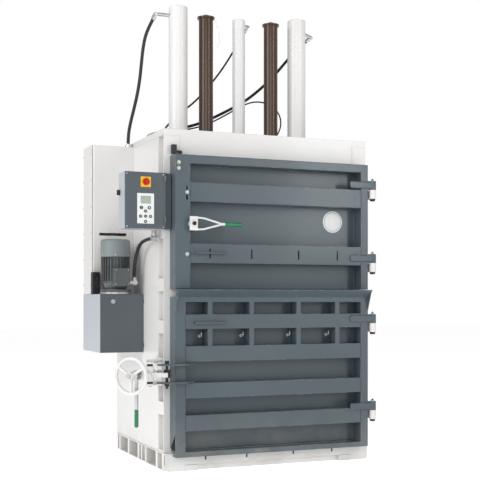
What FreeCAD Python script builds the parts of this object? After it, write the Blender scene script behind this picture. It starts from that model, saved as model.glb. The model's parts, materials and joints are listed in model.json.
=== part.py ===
import FreeCAD
import Part
import math
import os

os.makedirs("parts", exist_ok=True)

V = FreeCAD.Vector
X = V(1, 0, 0)
Y = V(0, 1, 0)
Z = V(0, 0, 1)

# Vertical baler. Millimetres, +Z up, +X to the right of someone facing the doors, +Y towards the back.
# The origin is on the floor, under the line of the press cylinders.

# ---- driving sizes -------------------------------------------------------------------------------
chamber_width = 1200.0
wall_thickness = 100.0
body_half = chamber_width / 2 + wall_thickness
front_y = -496.0
rear_y = 546.0
base_height = 110.0
wall_top = 2050.0
deck_top = 2090.0
skin = 4.0
weld_gap = 0.2

door_width = 1320.0
door_half = door_width / 2
door_front_y = -601.0
door_back_y = front_y - 3.0
door_skin = 5.0
upper_door_bottom = 1112.0
upper_door_top = 1922.0
lower_door_bottom = 95.0
lower_door_top = 1064.0
hinge_x = 700.0
hinge_y = -591.0
hinge_pin_r = 12.0
hinge_knuckle_r = 23.0
hinge_knuckle = 58.0
hinge_clear = 0.05
upper_hinge_z = [1285.0, 1761.0]
lower_hinge_z = [327.0, 894.0]
tie_x = [-437.0, -161.0, 161.0, 437.0]
tie_width = 31.0

stroke = 770.0
bush_top = 2120.0
post_stop = 38.0
outer_cylinder_x = 435.0
outer_barrel_r = 62.5
outer_rod_r = 30.0
outer_top = 2985.0
centre_barrel_r = 42.5
centre_rod_r = 20.0
centre_top = 2945.0
barrel_wall = 9.0
running_fit = 0.05
post_x = 238.0
post_r = 47.5
post_wall = 8.0
post_top = bush_top + stroke + post_stop
post_cap_r = 58.0
post_cap = 12.0
plate_bottom = 1930.0
plate_top = 2040.0
plate_half = 590.0
plate_front = -470.0
plate_back = 420.0

lock_x = -827.0
lock_y = -621.0
lock_z = 607.0
lock_angle = 40.0
lock_pin_r = 11.0
block_half = 45.0
wheel_distance = 201.0
wheel_r = 113.0
ratchet_distance = 98.0
spindle_r = 14.0
roller_x = -719.0
roller_y = -616.0
roller_r = 20.0

handle_x = -555.0
handle_z = 1505.0
handle_y = -631.0
hub_r = 22.0

box_left = -955.0
box_front = -544.0
box_rear = -401.0
box_bottom = 1472.0
box_top = 1811.0
box_door = 14.0
key_travel = 1.5
key_clear = 0.4

tank_left = -987.0
tank_front = -88.0
tank_rear = 357.0
tank_bottom = 708.0
tank_top = 1082.0
tank_door = 8.0
motor_x = -861.0
motor_y = 11.0
fan_cover_r = 95.5
shaft_r = 14.0
cover_front = 135.0
cover_rear = 368.0
cover_top = 2061.0


# ---- shape helpers -------------------------------------------------------------------------------
def box(x0, x1, y0, y1, z0, z1):
    return Part.makeBox(x1 - x0, y1 - y0, z1 - z0, V(x0, y0, z0))


def rod(radius, start, end):
    return Part.makeCylinder(radius, (end - start).Length, start, end - start)


def ring(outer, inner, start, end):
    return rod(outer, start, end).cut(rod(inner, start - (end - start), end + (end - start)))


def join(first, *others):
    shape = first.fuse(list(others)) if others else first
    return shape.removeSplitter()


def prism(points, direction):
    """A flat outline, given as points, pushed along a direction."""
    wire = Part.makePolygon(points + [points[0]])
    return Part.Face(wire).extrude(direction)


def round_edges(shape, radius, chosen):
    """Rounds the straight edges that the chosen test accepts, given each edge's middle and direction."""
    edges = []
    for edge in shape.Edges:
        if len(edge.Vertexes) != 2:
            continue
        a = edge.Vertexes[0].Point
        b = edge.Vertexes[1].Point
        if (b - a).Length > 0 and chosen((a + b) * 0.5, (b - a).normalize()):
            edges.append(edge)
    return shape.makeFillet(radius, edges) if edges else shape


def turned(shape, angle, centre, axis):
    copy = shape.copy()
    copy.rotate(centre, axis, angle)
    return copy


def moved(shape, offset):
    copy = shape.copy()
    copy.translate(offset)
    return copy


def save(name, *shapes):
    solids = [solid for shape in shapes for solid in shape.Solids]
    shape = solids[0] if len(solids) == 1 else Part.makeCompound(solids)
    shape.exportStep("parts/" + name + ".step")


# ---- base ----------------------------------------------------------------------------------------
base_half = 697.0
base_front = -522.0
base_plate = 8.0
base_floor = 6.0
base_tube_wall = 5.0
base_corner = 20.0
pocket_width = 190.0
pocket_centres = [-232.5, 157.5]
tube_width = 38.0
tube_centres = [-469.5, 484.5]
tube_centres += [c + side * (pocket_width + tube_width) / 2 for c in pocket_centres for side in (-1, 1)]
middle_tube = (-37.0, -15.0)
apron = 8.0
toe_height = 35.0
toe_depth = 25.0
toe_half = 487.0
foot_width = 85.0
foot_proud = 3.0
anchor_x = 640.0
anchor_y = [-411.0, 381.0]
anchor_r = 9.0
tie_slot_width = 10.0


def hollow_beam(y0, y1):
    """One closed rectangular tube across the base, with its ends capped."""
    wall = base_tube_wall
    outer = box(-base_half, base_half, y0, y1, base_floor, base_height - base_plate)
    inner = box(-base_half + wall, base_half - wall, y0 + wall, y1 - wall,
                base_floor + wall, base_height - base_plate - wall)
    return outer.cut(inner)


def base_frame():
    top = box(-base_half, base_half, base_front, rear_y, base_height - base_plate, base_height)
    floor = box(-base_half, base_half, base_front + toe_depth, rear_y, 0, base_floor)
    front = box(-base_half, base_half, base_front, base_front + apron, toe_height, base_height - base_plate)
    toe = box(-toe_half, toe_half, base_front + toe_depth, base_front + toe_depth + apron,
              base_floor, toe_height + apron)
    shelf = box(-toe_half - 6, toe_half + 6, base_front + apron, base_front + toe_depth,
                toe_height, toe_height + apron)
    corners = []
    for side in (-1, 1):
        x0, x1 = sorted([side * toe_half, side * base_half])
        low = box(x0, x1, base_front, base_front + toe_depth + apron, 0, toe_height)
        corners.append(low)
        x0, x1 = sorted([side * toe_half, side * (toe_half + foot_width)])
        corners.append(box(x0, x1, base_front - foot_proud, base_front, 0, toe_height))
    rear = box(-base_half, base_half, rear_y - apron, rear_y, base_floor, base_height - base_plate)
    tubes = [hollow_beam(c - tube_width / 2, c + tube_width / 2) for c in tube_centres]
    tubes.append(hollow_beam(middle_tube[0], middle_tube[1]))
    shape = join(top, floor, front, toe, shelf, rear, *(corners + tubes))
    for x in tie_x:
        shape = shape.cut(box(x - tie_slot_width / 2, x + tie_slot_width / 2,
                              base_front - 1, base_front + apron + 1, 62, 92))
    for x in (-anchor_x, anchor_x):
        for y in anchor_y:
            shape = shape.cut(rod(anchor_r, V(x, y, -1), V(x, y, base_floor + 1)))
    for side in (-1, 1):
        x = side * base_half
        edge = box(min(x, x - side * base_corner), max(x, x - side * base_corner),
                   base_front - 1, base_front + toe_depth + apron + 1, -1, base_corner)
        post = rod(base_corner, V(x - side * base_corner, base_front - 2, base_corner),
                   V(x - side * base_corner, base_front + toe_depth + apron + 2, base_corner))
        shape = shape.cut(edge.cut(post))
    return shape


save("base_frame", base_frame())

# ---- chamber floor, walls and head ---------------------------------------------------------------
floor_top = 150.0
floor_plate = 14.0
floor_rib = 10.0
groove_depth = 8.0
chamber_half = chamber_width / 2
rear_inner = rear_y - wall_thickness
recess_front = -488.0
recess_rear = -392.0
recess_depth = 45.0
recess_bottom = 125.0
batten_bottoms = [341.0, 590.0, 839.0, 1097.0, 1419.0]
batten_height = 81.0
batten = 8.0


def chamber_floor():
    half = chamber_half - weld_gap
    y1 = rear_inner - weld_gap
    slab = box(-half, half, front_y, y1, floor_top - floor_plate, floor_top)
    for x in tie_x:
        slab = slab.cut(box(x - tie_width / 2, x + tie_width / 2, front_y - 1, y1 + 1,
                            floor_top - groove_depth, floor_top + 1))
    ribs = []
    rib_count = 7
    for i in range(rib_count):
        x = -half + floor_rib / 2 + i * (2 * half - floor_rib) / (rib_count - 1)
        ribs.append(box(x - floor_rib / 2, x + floor_rib / 2, front_y, y1, base_height,
                        floor_top - floor_plate))
    ends = box(-half, half, front_y, front_y + floor_rib, base_height, floor_top - floor_plate)
    return join(slab, ends, *ribs)


def side_wall(side):
    """A hollow side wall with the open channel behind its front flange and the battens across it."""
    outer = box(-body_half, -chamber_half, front_y, rear_y, base_height, wall_top)
    channel = box(-body_half - 1, -body_half + recess_depth, recess_front, recess_rear,
                  recess_bottom, wall_top + 1)
    wall = outer.cut(channel)
    liner = 4.0
    wall = wall.cut(box(-body_half + skin, -chamber_half - liner, recess_rear + skin, rear_y - skin,
                        base_height + skin, wall_top - skin))
    wall = wall.cut(box(-body_half + recess_depth + skin, -chamber_half - liner, front_y + skin,
                        recess_rear + skin / 2, base_height + skin, wall_top - skin))
    strips = [box(-body_half, -body_half + batten, recess_front, recess_rear, z, z + batten_height)
              for z in batten_bottoms]
    wall = join(wall, *strips)
    return wall if side < 0 else wall.mirror(V(0, 0, 0), X)


def rear_wall():
    half = chamber_half - weld_gap
    outer = box(-half, half, rear_inner, rear_y, base_height, wall_top)
    return outer.cut(box(-half + skin, half - skin, rear_inner + skin, rear_y - skin,
                         base_height + skin, wall_top - skin))


bush_r = post_r + 12.0
bush_flange_r = 66.0
bush_bottom = wall_top
strip_slot = (-170.0, -118.0, -13.0, 13.0)
beam_bottom = 1925.0
beam_plate = 12.0
deck_plate = 10.0
boss_ring = 18.0


def deck_holes():
    """Centre and radius of each round hole through the head's deck."""
    holes = [(x, outer_barrel_r + weld_gap) for x in (-outer_cylinder_x, outer_cylinder_x)]
    holes.append((0.0, centre_barrel_r + weld_gap))
    holes += [(x, bush_r + weld_gap) for x in (-post_x, post_x)]
    return holes


def head_frame():
    deck = box(-body_half, body_half, front_y, rear_y, wall_top, deck_top)
    void = box(-body_half + deck_plate, body_half - deck_plate, front_y + deck_plate,
               rear_y - deck_plate, wall_top + deck_plate, deck_top - deck_plate)
    for x, radius in deck_holes():
        void = void.cut(rod(radius + boss_ring, V(x, 0, wall_top), V(x, 0, deck_top)))
    x0, x1, y0, y1 = strip_slot
    void = void.cut(box(x0 - deck_plate, x1 + deck_plate, y0 - deck_plate, y1 + deck_plate,
                        wall_top, deck_top))
    deck = deck.cut(void)
    for x, radius in deck_holes():
        deck = deck.cut(rod(radius, V(x, 0, wall_top - 1), V(x, 0, deck_top + 1)))
    deck = deck.cut(box(x0, x1, y0, y1, wall_top - 1, deck_top + 1))
    half = chamber_half - weld_gap
    beam = box(-half, half, front_y, front_y + beam_plate, beam_bottom, wall_top)
    return join(deck, beam)


save("chamber_floor", chamber_floor())
save("left_side_wall", side_wall(-1))
save("right_side_wall", side_wall(1))
save("rear_wall", rear_wall())
save("head_frame", head_frame())

# ---- press: barrels, rods, guides and plate ------------------------------------------------------
gland = 40.0
barrel_flange = 12.0
piston = 40.0
barrel_head = 20.0


def barrel(x, radius, rod_r, top):
    outer = rod(radius, V(x, 0, wall_top), V(x, 0, top))
    flange = rod(radius + 20, V(x, 0, deck_top), V(x, 0, deck_top + barrel_flange))
    shape = join(outer, flange)
    shape = shape.cut(rod(radius - barrel_wall, V(x, 0, wall_top + gland), V(x, 0, top - barrel_head)))
    shape = shape.cut(rod(rod_r + running_fit, V(x, 0, wall_top - 1), V(x, 0, wall_top + gland + 1)))
    rim = shape.Edges
    top_rim = [e for e in rim if abs(e.BoundBox.ZMin - top) < 0.01 and abs(e.BoundBox.ZMax - top) < 0.01]
    return shape.makeFillet(3.0, top_rim)


def piston_rod(x, barrel_r, rod_r, top):
    """The rod with its piston, drawn up to the top of its barrel."""
    crown = top - barrel_head - 15
    shaft = rod(rod_r, V(x, 0, plate_top), V(x, 0, crown))
    head = rod(barrel_r - barrel_wall - running_fit, V(x, 0, crown - piston), V(x, 0, crown))
    return join(shaft, head)


def guide_post(x):
    tube = ring(post_r, post_r - post_wall, V(x, 0, plate_top), V(x, 0, post_top))
    cap = rod(post_cap_r, V(x, 0, post_top), V(x, 0, post_top + post_cap))
    return join(tube, cap)


def guide_bush(x):
    body = rod(bush_r, V(x, 0, bush_bottom), V(x, 0, bush_top))
    flange = rod(bush_flange_r, V(x, 0, deck_top), V(x, 0, deck_top + 10))
    bore = rod(post_r + running_fit, V(x, 0, bush_bottom - 1), V(x, 0, bush_top + 1))
    return join(body, flange).cut(bore)


plate_wall = 10.0
plate_rib = 12.0


def press_plate():
    outer = box(-plate_half, plate_half, plate_front, plate_back, plate_bottom, plate_top)
    void = box(-plate_half + plate_wall, plate_half - plate_wall, plate_front + plate_wall,
               plate_back - plate_wall, plate_bottom + 14, plate_top - plate_wall)
    for x in (-outer_cylinder_x, -post_x, 0.0, post_x, outer_cylinder_x):
        void = void.cut(box(x - plate_rib / 2, x + plate_rib / 2, plate_front, plate_back,
                            plate_bottom, plate_top))
        void = void.cut(rod(post_r + 10, V(x, 0, plate_bottom), V(x, 0, plate_top)))
    shape = outer.cut(void)
    for x in tie_x:
        shape = shape.cut(box(x - tie_width / 2, x + tie_width / 2, plate_front - 1, plate_back + 1,
                              plate_bottom - 1, plate_bottom + 8))
    return shape


strip_y = 6.0
strip_thick = 3.0


def switch_strip():
    """The jogged strip that hangs beside the left guide post and works the travel switches."""
    x0 = -post_x + post_r + 8
    z1 = post_top - weld_gap
    points = [(x0, z1), (x0 + 38, z1), (x0 + 38, z1 - 45), (x0 + 54, z1 - 60), (x0 + 54, z1 - 150),
              (x0 + 42, z1 - 162), (x0 + 42, z1 - 192), (x0 + 28, z1 - 192), (x0 + 28, z1 - 158),
              (x0 + 40, z1 - 146), (x0 + 40, z1 - 66), (x0 + 24, z1 - 50), (x0 + 24, z1 - 14),
              (x0, z1 - 14)]
    return prism([V(x, -strip_y / 2, z) for x, z in points], V(0, strip_thick, 0))


save("outer_cylinders", *[barrel(x, outer_barrel_r, outer_rod_r, outer_top)
                          for x in (-outer_cylinder_x, outer_cylinder_x)])
save("centre_cylinder", barrel(0, centre_barrel_r, centre_rod_r, centre_top))
save("piston_rods",
     piston_rod(-outer_cylinder_x, outer_barrel_r, outer_rod_r, outer_top),
     piston_rod(0, centre_barrel_r, centre_rod_r, centre_top),
     piston_rod(outer_cylinder_x, outer_barrel_r, outer_rod_r, outer_top))
save("guide_posts", guide_post(-post_x), guide_post(post_x))
save("guide_bushes", guide_bush(-post_x), guide_bush(post_x))
save("press_plate", press_plate())
save("switch_strip", switch_strip())

# ---- doors ---------------------------------------------------------------------------------------
rail_depth = 97.0
sheet = 5.0
upper_left_stile = 95.0
upper_right_stile = 50.0
upper_top_rail = 51.0
upper_bands = [(1268.0, 1387.0), (1640.0, 1758.0)]
lower_left_stile = 64.0
lower_right_stile = 53.0
lower_bands = [(252.0, 347.0), (449.0, 542.0), (671.0, 765.0), (869.0, 957.0)]
lower_bottom_rail = 31.0
lower_bottom_depth = 74.0
lower_top_rail = 32.0
rib_rows = [(765.0, 869.0), (957.0, 1032.0)]
lip_top = 1109.0
lip_reach = 57.0
bar_r = 7.0
bar_gap = 30.0
bar_left = -547.0
bar_right = -339.0


def channel(x0, x1, z0, z1, depth=rail_depth):
    """A folded channel with its web flush with the door's front, open towards the door's skin."""
    outer = box(x0, x1, door_front_y, door_front_y + depth, z0, z1)
    inner = box(x0 + sheet, x1 - sheet, door_front_y + sheet, door_front_y + depth + 1,
                z0 + sheet, z1 - sheet)
    return outer.cut(inner)


def hinge_knuckle_solid(z0, z1):
    """One half of a hinge on the door: its eye round the pin and the strap to the door's edge."""
    eye = rod(hinge_knuckle_r, V(hinge_x, hinge_y, z0), V(hinge_x, hinge_y, z1))
    strap = box(door_half - 1, hinge_x, hinge_y - 8, hinge_y + 14, z0, z1)
    bore = rod(hinge_pin_r + hinge_clear, V(hinge_x, hinge_y, z0 - 1), V(hinge_x, hinge_y, z1 + 1))
    return join(eye, strap).cut(bore)


def door_skin_plate(z0, z1):
    return box(-door_half, door_half, door_front_y + rail_depth, door_back_y, z0, z1)


def upper_door_panel():
    z0 = upper_door_bottom
    z1 = upper_door_top
    pieces = [channel(-door_half, -door_half + upper_left_stile, z0, z1),
              channel(door_half - upper_right_stile, door_half, z0, z1),
              channel(-door_half, door_half, z1 - upper_top_rail, z1)]
    for low, high in upper_bands:
        pieces.append(channel(-door_half + upper_left_stile - sheet, door_half - upper_right_stile + sheet,
                              low, high))
    shape = join(door_skin_plate(z0, z1), *pieces)
    for z in upper_hinge_z:
        shape = shape.fuse(hinge_knuckle_solid(z + weld_gap, z + hinge_knuckle))
    for x in tie_x:
        shape = shape.cut(box(x - 4, x + 4, door_front_y - 1, door_front_y + sheet + 1, 1300, 1356))
    slot_x = -door_half + upper_left_stile - 26
    shape = shape.cut(box(slot_x, slot_x + 10, door_front_y - 1, door_front_y + sheet + 1, 1650, 1735))
    bore = rod(10.0 + running_fit, V(handle_x, door_front_y - 1, handle_z),
               V(handle_x, door_back_y + 1, handle_z))
    plate = box(handle_x - 24, handle_x + 25, door_front_y + 52, door_front_y + rail_depth,
                handle_z - 42, handle_z + 43)
    recess = rod(hub_r + 1.0, V(handle_x, door_front_y - 1, handle_z),
                 V(handle_x, door_front_y + 52, handle_z))
    return shape.fuse(plate).removeSplitter().cut(bore).cut(recess)


def lip():
    """The flared lip along the lower door's top edge, with its end gussets."""
    y0 = door_front_y
    low = lower_door_top - sheet
    section = [V(0, y0, low), V(0, y0 - lip_reach, lip_top - sheet), V(0, y0 - lip_reach, lip_top),
               V(0, y0 - lip_reach + 4, lip_top), V(0, y0 + sheet, low + sheet + 2),
               V(0, y0 + sheet, low)]
    half = door_half + 2
    fold = prism([p + V(-half, 0, 0) for p in section], V(2 * half, 0, 0))
    gussets = []
    for side in (-1, 1):
        x = side * (door_half - sheet / 2)
        gusset = prism([V(x - sheet / 2, y0, low - 90), V(x - sheet / 2, y0, low),
                        V(x - sheet / 2, y0 - lip_reach + 6, lip_top - sheet - 2)], V(sheet, 0, 0))
        gussets.append(gusset)
    return join(fold, *gussets)


def lower_door_panel():
    z0 = lower_door_bottom
    z1 = lower_door_top
    pieces = [channel(-door_half, -door_half + lower_left_stile, z0 + lower_bottom_rail, z1),
              channel(door_half - lower_right_stile, door_half, z0 + lower_bottom_rail, z1),
              channel(-door_half, door_half, z0, z0 + lower_bottom_rail, lower_bottom_depth),
              channel(-door_half, door_half, z1 - lower_top_rail, z1)]
    for low, high in lower_bands:
        pieces.append(channel(-door_half + lower_left_stile - sheet, door_half - lower_right_stile + sheet,
                              low, high))
    for low, high in rib_rows:
        for x in tie_x:
            pieces.append(channel(x - tie_width / 2, x + tie_width / 2, low - sheet, high + sheet))
    pieces.append(lip())
    shape = join(door_skin_plate(z0 + lower_bottom_rail, z1), *pieces)
    for z in lower_hinge_z:
        shape = shape.fuse(hinge_knuckle_solid(z + weld_gap, z + hinge_knuckle))
    for z in (lock_z - 56.0, lock_z + 51.0):
        shape = shape.fuse(lock_arm_plate(z))
    wedge = prism([V(-door_half - 1, door_front_y + 8, 234), V(-door_half - 1, door_front_y + 95, 143),
                   V(-door_half - 1, door_front_y + 120, 143), V(-door_half - 1, door_front_y + 120, 90),
                   V(-door_half - 1, door_front_y + 8, 90)], V(sheet + 2, 0, 0))
    return shape.removeSplitter().cut(wedge)


lock_plate = 10.0
lock_plate_left = -776.0
lock_plate_tip = -535.0


def lock_arm_plate(z):
    """One of the two flat arms on the door that hold the lock's roller between them."""
    front = roller_y - 42
    outline = [V(lock_plate_left, roller_y - 20, z), V(lock_plate_left + 20, front, z),
               V(-door_half + 60, front, z), V(lock_plate_tip, door_front_y, z),
               V(-door_half, door_front_y, z), V(-door_half, door_front_y + 6, z),
               V(lock_plate_left, roller_y + 14, z)]
    plate = prism([p - V(0, 0, lock_plate / 2) for p in outline], V(0, 0, lock_plate))
    return plate.cut(rod(8.1, V(roller_x, roller_y, z - lock_plate), V(roller_x, roller_y, z + lock_plate)))


def grab_bar(z):
    y = door_front_y - bar_gap
    bar = rod(bar_r, V(bar_left, y, z), V(bar_right, y, z))
    feet = []
    for x in (bar_left + 12, bar_right - 12):
        feet.append(rod(bar_r * 0.8, V(x, door_front_y, z), V(x, y, z)))
    return join(bar, *feet)


def lock_bolt():
    """The vertical bolt between the door's two arms, with its roller, head and nut."""
    shank = rod(8.0, V(roller_x, roller_y, lock_z - 92), V(roller_x, roller_y, lock_z + 70))
    head = rod(13.0, V(roller_x, roller_y, lock_z + 56 + weld_gap), V(roller_x, roller_y, lock_z + 74))
    nut = rod(14.0, V(roller_x, roller_y, lock_z - 78), V(roller_x, roller_y, lock_z - 61 - weld_gap))
    roller = rod(roller_r, V(roller_x, roller_y, lock_z - 26), V(roller_x, roller_y, lock_z + 20))
    return join(shank, head, nut, roller)


def frame_hinge(z):
    """The half of a hinge on the wall: strap, eye and the pin that is welded into it."""
    z0 = z - hinge_knuckle
    eye = rod(hinge_knuckle_r, V(hinge_x, hinge_y, z0), V(hinge_x, hinge_y, z))
    strap = box(body_half, body_half + 14, hinge_y, front_y + 130, z0, z)
    web = box(body_half - 30, body_half, front_y - 20, front_y, z0, z)
    pin = rod(hinge_pin_r, V(hinge_x, hinge_y, z0), V(hinge_x, hinge_y, z + hinge_knuckle + 6))
    return join(eye, strap, web, pin)


save("upper_door_panel", upper_door_panel())
save("lower_door_panel", lower_door_panel())
save("upper_grab_bar", grab_bar(1330.0))
save("lower_grab_bar", grab_bar(906.0))
save("lock_bolt", lock_bolt())
save("frame_hinges", *[frame_hinge(z) for z in lower_hinge_z + upper_hinge_z])


# ---- upper door handle ---------------------------------------------------------------------------
handle_shaft_r = 10.0
fork_r = 6.0
fork_half = 36.0
fork_joint = -378.0
ferrule_end = -352.0
grip_end = -239.0
grip_r = 13.0


def upper_handle():
    y0 = door_front_y + 52 - weld_gap
    shaft = rod(handle_shaft_r, V(handle_x, handle_y - 12, handle_z),
                V(handle_x, door_front_y + rail_depth - 1, handle_z))
    hub = rod(hub_r, V(handle_x, handle_y - 12, handle_z), V(handle_x, y0, handle_z))
    plate = box(handle_x - 24, handle_x + 25, handle_y - 6, handle_y + 6, handle_z - 42, handle_z + 43)
    arms = []
    for side in (-1, 1):
        a = V(handle_x + 20, handle_y, handle_z + side * fork_half)
        b = V(handle_x + 66, handle_y, handle_z + side * (fork_half - 3))
        c = V(fork_joint, handle_y, handle_z + side * 3)
        arms += [rod(fork_r, a, b), Part.makeSphere(fork_r, b), rod(fork_r, b, c)]
    ferrule = rod(9.0, V(fork_joint - 8, handle_y, handle_z), V(ferrule_end, handle_y, handle_z))
    core = rod(6.0, V(ferrule_end - 1, handle_y, handle_z), V(grip_end - 8, handle_y, handle_z))
    return join(hub, shaft, plate, ferrule, core, *arms)


def grip(start, end, radius, core):
    """A moulded grip with a rounded end, bored for the rod that it is pushed on."""
    length = (end - start).normalize()
    body = rod(radius, start, end)
    rim = [e for e in body.Edges if isinstance(e.Curve, Part.Circle) and (e.Curve.Center - end).Length < 1]
    body = body.makeFillet(radius * 0.85, rim)
    return body.cut(rod(core + running_fit, start - length, end - length * 8))


save("upper_handle", upper_handle())
save("upper_handle_grip", grip(V(ferrule_end + weld_gap, handle_y, handle_z),
                               V(grip_end, handle_y, handle_z), grip_r, 6.0))

# ---- lower door lock -----------------------------------------------------------------------------
lock_dir = V(math.cos(math.radians(lock_angle)), math.sin(math.radians(lock_angle)), 0)
lock_centre = V(lock_x, lock_y, lock_z)
fork_plate = 12.0
fork_gap = 59.0
spindle_tail = 92.0
wheel_rim = 11.0
wheel_hub_r = 24.0
spokes = 3
lever_length = 303.0
lever_r = 8.0
lever_grip = 104.0


def along(distance):
    """A point on the spindle's line, measured from the lock's pivot towards the frame."""
    return lock_centre + lock_dir * distance


def lock_bracket():
    """The fork on the wall: two plates, their back plate, and the two stub pins."""
    pieces = [box(-body_half - 12, -body_half, recess_front - 4, recess_rear + 30, lock_z - 86, lock_z + 86)]
    for z in (lock_z - fork_gap - fork_plate, lock_z + fork_gap):
        outline = [V(-body_half - 6, recess_front, z), V(-body_half - 6, recess_rear + 20, z),
                   V(-body_half - 70, recess_rear, z), V(lock_x - 24, lock_y + 10, z),
                   V(lock_x - 20, lock_y - 20, z), V(lock_x + 18, lock_y - 20, z),
                   V(lock_x + 34, lock_y + 28, z)]
        pieces.append(prism(outline, V(0, 0, fork_plate)))
    shape = join(*pieces)
    for side in (-1, 1):
        inner = lock_z + side * (block_half - 16)
        outer = lock_z + side * (fork_gap + fork_plate + 6)
        shape = shape.fuse(rod(lock_pin_r, V(lock_x, lock_y, inner), V(lock_x, lock_y, outer)))
    return shape


def lock_washers():
    discs = []
    for side in (-1, 1):
        inner = lock_z + side * (block_half + 0.3)
        outer = lock_z + side * (fork_gap - 0.3)
        discs.append(ring(lock_pin_r + 7, lock_pin_r + 0.1, V(lock_x, lock_y, inner),
                          V(lock_x, lock_y, outer)))
    return discs


def lock_block():
    """The swinging block: drum for the spindle, cheeks round the stub pins, and the hook."""
    barrel_part = rod(29.0, along(-ratchet_distance - 34), along(-52))
    neck = rod(22.0, along(-60), along(48))
    cheek = rod(26.0, lock_centre - V(0, 0, block_half), lock_centre + V(0, 0, block_half))
    hook_z = lock_z - 16
    tip = turned(prism([V(0, -14, 0), V(96, -14, 0), V(124, -20, 0), V(134, -2, 0), V(124, 14, 0),
                        V(112, 12, 0), V(104, 2, 0), V(84, 14, 0), V(0, 14, 0)], V(0, 0, 26)),
                 -56.0, V(0, 0, 0), Z)
    hook = moved(tip, V(lock_x, lock_y, hook_z))
    shape = join(barrel_part, neck, cheek, hook)
    shape = shape.cut(rod(spindle_r + running_fit, along(-400), along(400)))
    for side in (-1, 1):
        inner = lock_z + side * (block_half - 17)
        outer = lock_z + side * (block_half + 2)
        shape = shape.cut(rod(lock_pin_r + running_fit, V(lock_x, lock_y, inner), V(lock_x, lock_y, outer)))
    return shape


def handwheel():
    centre = along(-wheel_distance)
    rim = Part.makeTorus(wheel_r - wheel_rim, wheel_rim, centre, lock_dir)
    hub = rod(wheel_hub_r, along(-wheel_distance - 24), along(-wheel_distance + 30))
    arms = []
    for i in range(spokes):
        reach = rod(9.0, centre, centre + Z * (wheel_r - wheel_rim))
        reach = turned(reach, 360.0 * i / spokes + 60, centre, lock_dir)
        arms.append(reach)
    return join(rim, hub, *arms).cut(rod(spindle_r, along(-wheel_distance - 30), along(0)))


def lock_spindle():
    shaft = rod(spindle_r, along(-wheel_distance - 34), along(spindle_tail))
    pad = rod(20.0, along(spindle_tail), along(spindle_tail + 12))
    return join(shaft, pad)


lever_at = -ratchet_distance - 46


def ratchet_lever():
    """The ratchet's eye round the spindle, with its flat lever hanging down."""
    head = rod(30.0, along(lever_at - 9), along(lever_at + 9))
    side = V(-lock_dir.y, lock_dir.x, 0)
    top = along(lever_at)
    bar = prism([top + side * 10 + lock_dir * 5, top + side * 10 - lock_dir * 5,
                 top - side * 10 - lock_dir * 5, top - side * 10 + lock_dir * 5],
                V(0, 0, -(lever_length - lever_grip)))
    core = rod(5.0, top - Z * (lever_length - lever_grip - 1), top - Z * (lever_length - 12))
    return join(head, bar, core).cut(rod(spindle_r + running_fit, along(-300), along(0)))


save("lock_bracket", lock_bracket())
save("lock_washers", *lock_washers())
save("lock_block", lock_block())
save("handwheel", handwheel())
save("lock_spindle", lock_spindle())
save("ratchet_lever", ratchet_lever())
save("ratchet_grip", grip(along(lever_at) - Z * (lever_length - lever_grip + weld_gap),
                          along(lever_at) - Z * lever_length, 12.0, 5.0))

# ---- power unit ----------------------------------------------------------------------------------
cabinet_wall = 3.0
motor_flange_top = 1112.0
stator_bottom = 1154.0
stator_top = 1330.0
fan_cover_top = 1436.0
stator_r = 80.0
fin_tip_r = 93.0
fin_count = 28
fin_width = 3.0
rotor_r = 49.0
stator_bore = 50.0
fan_r = 78.0
fan_blades = 8
motor_axis = V(motor_x, motor_y, 0)


def tank_cabinet():
    outer = box(tank_left, -body_half, tank_front + tank_door, tank_rear, tank_bottom, tank_top)
    inner = box(tank_left + cabinet_wall, -body_half - cabinet_wall, tank_front + tank_door - 1,
                tank_rear - cabinet_wall, tank_bottom + cabinet_wall, tank_top - cabinet_wall)
    return outer.cut(inner).cut(rod(46.0, motor_axis + Z * (tank_top - 10), motor_axis + Z * (tank_top + 1)))


def rear_cover():
    outer = box(tank_left + 2, -body_half, cover_front, cover_rear, tank_top, cover_top)
    outer = round_edges(outer, 14.0, lambda m, d: abs(d.z) > 0.9 and m.x < -900)
    inner = box(tank_left + 5, -body_half - 3, cover_front + 3, cover_rear - 3, tank_top - 1, cover_top - 3)
    shape = outer.cut(inner)
    return shape.cut(box(-935, -752, cover_front - 1, cover_front + 4, 1468, 1486))


def motor_body():
    tube = rod(stator_r, motor_axis + Z * stator_bottom, motor_axis + Z * stator_top)
    fins = []
    for i in range(fin_count):
        fin = box(stator_r - 3, fin_tip_r, -fin_width / 2, fin_width / 2, stator_bottom + 12, stator_top - 6)
        fins.append(moved(turned(fin, 360.0 * (i + 0.5) / fin_count, V(0, 0, 0), Z), motor_axis))
    shield = Part.makeCone(70, 84, stator_bottom - motor_flange_top,
                           motor_axis + Z * motor_flange_top, Z)
    flange = rod(100.0, motor_axis + Z * tank_top, motor_axis + Z * motor_flange_top)
    shape = join(tube, shield, flange, *fins)
    shape = shape.cut(rod(stator_bore, motor_axis + Z * 1130, motor_axis + Z * 1312))
    return shape.cut(rod(shaft_r + running_fit, motor_axis + Z * 1000, motor_axis + Z * 1400))


def motor_rotor():
    shaft = rod(shaft_r, motor_axis + Z * 1052, motor_axis + Z * 1386)
    core = rod(rotor_r, motor_axis + Z * 1146, motor_axis + Z * 1296)
    return join(shaft, core)


def motor_fan():
    hub = rod(30.0, motor_axis + Z * 1346, motor_axis + Z * 1376)
    disc = rod(fan_r, motor_axis + Z * 1346, motor_axis + Z * 1350)
    blades = []
    for i in range(fan_blades):
        blade = box(26, fan_r - 2, -1.5, 1.5, 1348, 1392)
        blades.append(moved(turned(blade, 360.0 * i / fan_blades, V(0, 0, 0), Z), motor_axis))
    return join(hub, disc, *blades).cut(rod(shaft_r, motor_axis + Z * 1300, motor_axis + Z * 1400))


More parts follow.
